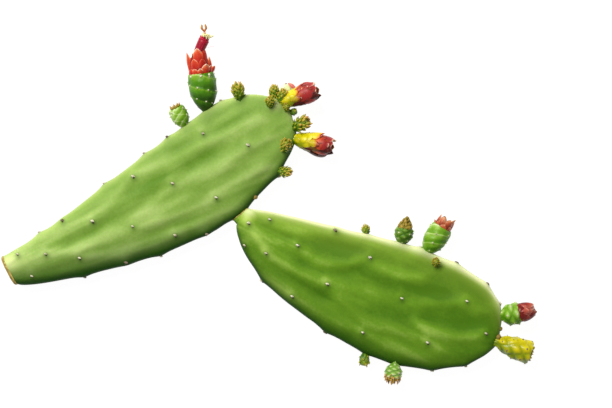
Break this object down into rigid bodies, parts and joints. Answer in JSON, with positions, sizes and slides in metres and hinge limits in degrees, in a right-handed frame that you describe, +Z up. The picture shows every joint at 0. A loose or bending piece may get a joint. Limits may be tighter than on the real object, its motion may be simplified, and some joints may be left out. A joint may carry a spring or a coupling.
{
  "type": "prickly pear cactus pad",
  "caption": "Branch of prickly pear lying flat: joined oval pads with woolly areoles, scaly young buds, flower buds, an open flower and unripe fruit along their margins.",
  "frame": {"origin": "on the surface that the branch lies on, under the middle of its bounding box", "axes": "+Z up, out of the front faces of the pads; +X from the cut base towards the tip of the upper pad; +Y towards the margins with the open flower"},
  "size_m": [0.4012, 0.2692, 0.0261],
  "materials": {
    "pad_skin": "waxy green skin with a satin sheen, paler over its folds",
    "cork": "dry tan cork",
    "bud_scale": "green with yellow-brown tips",
    "fruit_green": "glossy bright green with paler ridges",
    "fruit_pale": "satin light green",
    "fruit_yellow": "glossy lemon yellow turning green",
    "tepal_orange": "thin satin orange-red petal",
    "tepal_red": "satin brick-red to maroon petal",
    "bract_brown": "dry brown scale",
    "stamen_crimson": "soft crimson threads",
    "cream_down": "matte cream wool and pollen",
    "style_orange": "smooth orange-red stalk",
    "stigma_olive": "matte olive lobes"
  },
  "bodies": {
    "root": {"pad_lower": "pad_skin", "pad_upper": "pad_skin", "joint_scar": "cork", "joint_seam": "cork", "fruit_young": "fruit_green", "fruit_young_crown": "bract_brown", "flower_ovary": "fruit_green", "flower_tepals": "tepal_orange", "flower_filaments": "stamen_crimson", "flower_anthers": "cream_down", "flower_style": "style_orange", "flower_stigma": "stigma_olive", "bud_front_left": "bud_scale", "bud_tip_face": "bud_scale", "bud_tip_left": "bud_scale", "bud_tip_round": "bud_scale", "bud_tip_small": "bud_scale", "bud_tip_dot": "bud_scale", "bud_tip_right": "bud_scale", "bud_face_right": "bud_scale", "bud_right": "bud_scale", "flower_bud_tip": "fruit_yellow", "flower_bud_tip_tepals": "tepal_red", "flower_bud_right": "fruit_yellow", "flower_bud_right_tepals": "tepal_red", "fruit_pale": "fruit_pale", "fruit_pale_tepals": "tepal_red", "bud_upper_dot": "bud_scale", "bud_upper_face": "bud_scale", "bud_upper_right": "bud_scale", "bud_upper_left": "fruit_green", "bud_upper_left_scales": "bract_brown", "flower_bud_short": "fruit_green", "flower_bud_short_tepals": "tepal_orange", "flower_bud_closed": "fruit_green", "flower_bud_closed_tepals": "tepal_red", "fruit_yellow": "fruit_yellow", "fruit_yellow_crown": "bract_brown", "fruit_light": "fruit_pale", "fruit_light_scales": "bract_brown"}
  },
  "joints": []
}
